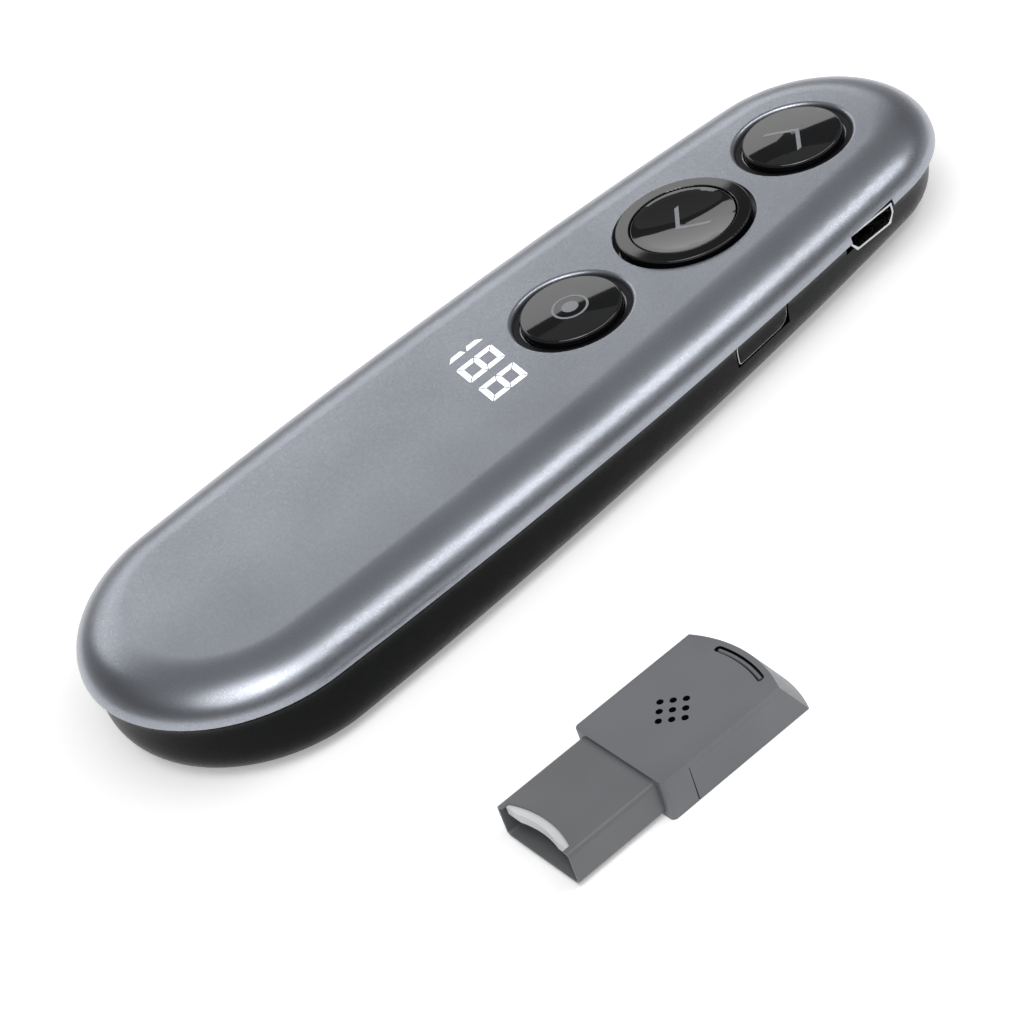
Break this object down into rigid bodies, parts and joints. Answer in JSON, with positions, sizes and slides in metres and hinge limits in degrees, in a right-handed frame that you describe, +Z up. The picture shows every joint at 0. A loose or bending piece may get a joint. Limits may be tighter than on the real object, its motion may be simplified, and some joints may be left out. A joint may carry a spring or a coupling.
{
  "type": "wireless presentation clicker",
  "caption": "Handheld slide-deck remote with round top buttons, a number display, a side key, a charging port and a separate plug-in receiver that stores in its underside.",
  "frame": {"origin": "middle of the clicker's length and width, on the surface that it lies on", "axes": "+X along the clicker towards its nose, +Z up out of its button face"},
  "size_m": [0.128, 0.0793, 0.0141],
  "materials": {
    "grey_paint": "satin metallic grey paint over plastic",
    "dark_plastic": "satin dark grey plastic",
    "gloss_black": "gloss black plastic",
    "lamp_lens": "dark lens, light off",
    "lit_white": "white light guide, lit",
    "inner_black": "matt black moulding",
    "circuit_board": "green solder mask",
    "foam": "soft black foam",
    "battery_foil": "satin foil pouch",
    "tinned_metal": "tinned sheet metal",
    "gold_contact": "gold plated contacts",
    "brass_tube": "turned brass",
    "clear_lens": "clear polished lens",
    "screw_steel": "blackened steel",
    "mark_white": "light grey insert",
    "switch_plastic": "red moulded plastic",
    "receiver_grey": "matt grey plastic",
    "plug_metal": "dark grey coated sheet metal",
    "white_plastic": "white moulded insulator"
  },
  "bodies": {
    "clicker": {"lower_shell": "dark_plastic", "upper_shell": "grey_paint", "page_down_bezel": "gloss_black", "indicator_lens": "lamp_lens", "page_up_seal": "inner_black", "pointer_seal": "inner_black", "display_light_guide": "lit_white", "display_module": "inner_black", "main_board": "circuit_board", "page_up_switch": "inner_black", "page_down_switch": "inner_black", "pointer_switch": "inner_black", "controller_chip": "inner_black", "board_components": "inner_black", "battery_pad": "foam", "battery": "battery_foil", "battery_tabs": "tinned_metal", "charging_port_shell": "tinned_metal", "charging_port_tongue": "inner_black", "charging_port_contacts": "gold_contact", "side_switch": "inner_black", "laser_barrel": "brass_tube", "laser_lens": "clear_lens", "laser_driver": "circuit_board", "nose_window": "clear_lens", "case_screws": "screw_steel", "board_screws": "screw_steel"},
    "page_up_key": {"page_up_button": "gloss_black", "page_up_mark": "mark_white", "page_up_plunger": "switch_plastic"},
    "page_down_key": {"page_down_button": "gloss_black", "page_down_mark": "mark_white", "page_down_plunger": "switch_plastic"},
    "pointer_key": {"pointer_button": "gloss_black", "pointer_mark": "mark_white", "pointer_plunger": "switch_plastic"},
    "side_rocker": {"side_key": "gloss_black", "side_plunger": "switch_plastic"},
    "receiver": {"receiver_bottom_cover": "receiver_grey", "receiver_top_cover": "receiver_grey", "receiver_board": "circuit_board", "receiver_chip": "inner_black", "receiver_buzzer": "inner_black", "usb_plug_shell": "plug_metal", "usb_plug_insulator": "white_plastic", "usb_plug_contacts": "gold_contact"}
  },
  "joints": [
    {"name": "page_up_press", "type": "slide", "parent": "clicker", "child": "page_up_key", "axis": [0, 0, -1], "range_m": [0, 0.0006], "stiffness_N_per_m": 2500},
    {"name": "page_down_press", "type": "slide", "parent": "clicker", "child": "page_down_key", "axis": [0, 0, -1], "range_m": [0, 0.0006], "stiffness_N_per_m": 2500},
    {"name": "pointer_press", "type": "slide", "parent": "clicker", "child": "pointer_key", "axis": [0, 0, -1], "range_m": [0, 0.0006], "stiffness_N_per_m": 2500},
    {"name": "side_key_press", "type": "slide", "parent": "clicker", "child": "side_rocker", "axis": [0, 1, 0], "range_m": [0, 0.0005], "stiffness_N_per_m": 2500},
    {"name": "receiver_lift", "type": "slide", "parent": "clicker", "child": "receiver", "axis": [0, 0, 1], "range_m": [0, 0.06]}
  ]
}
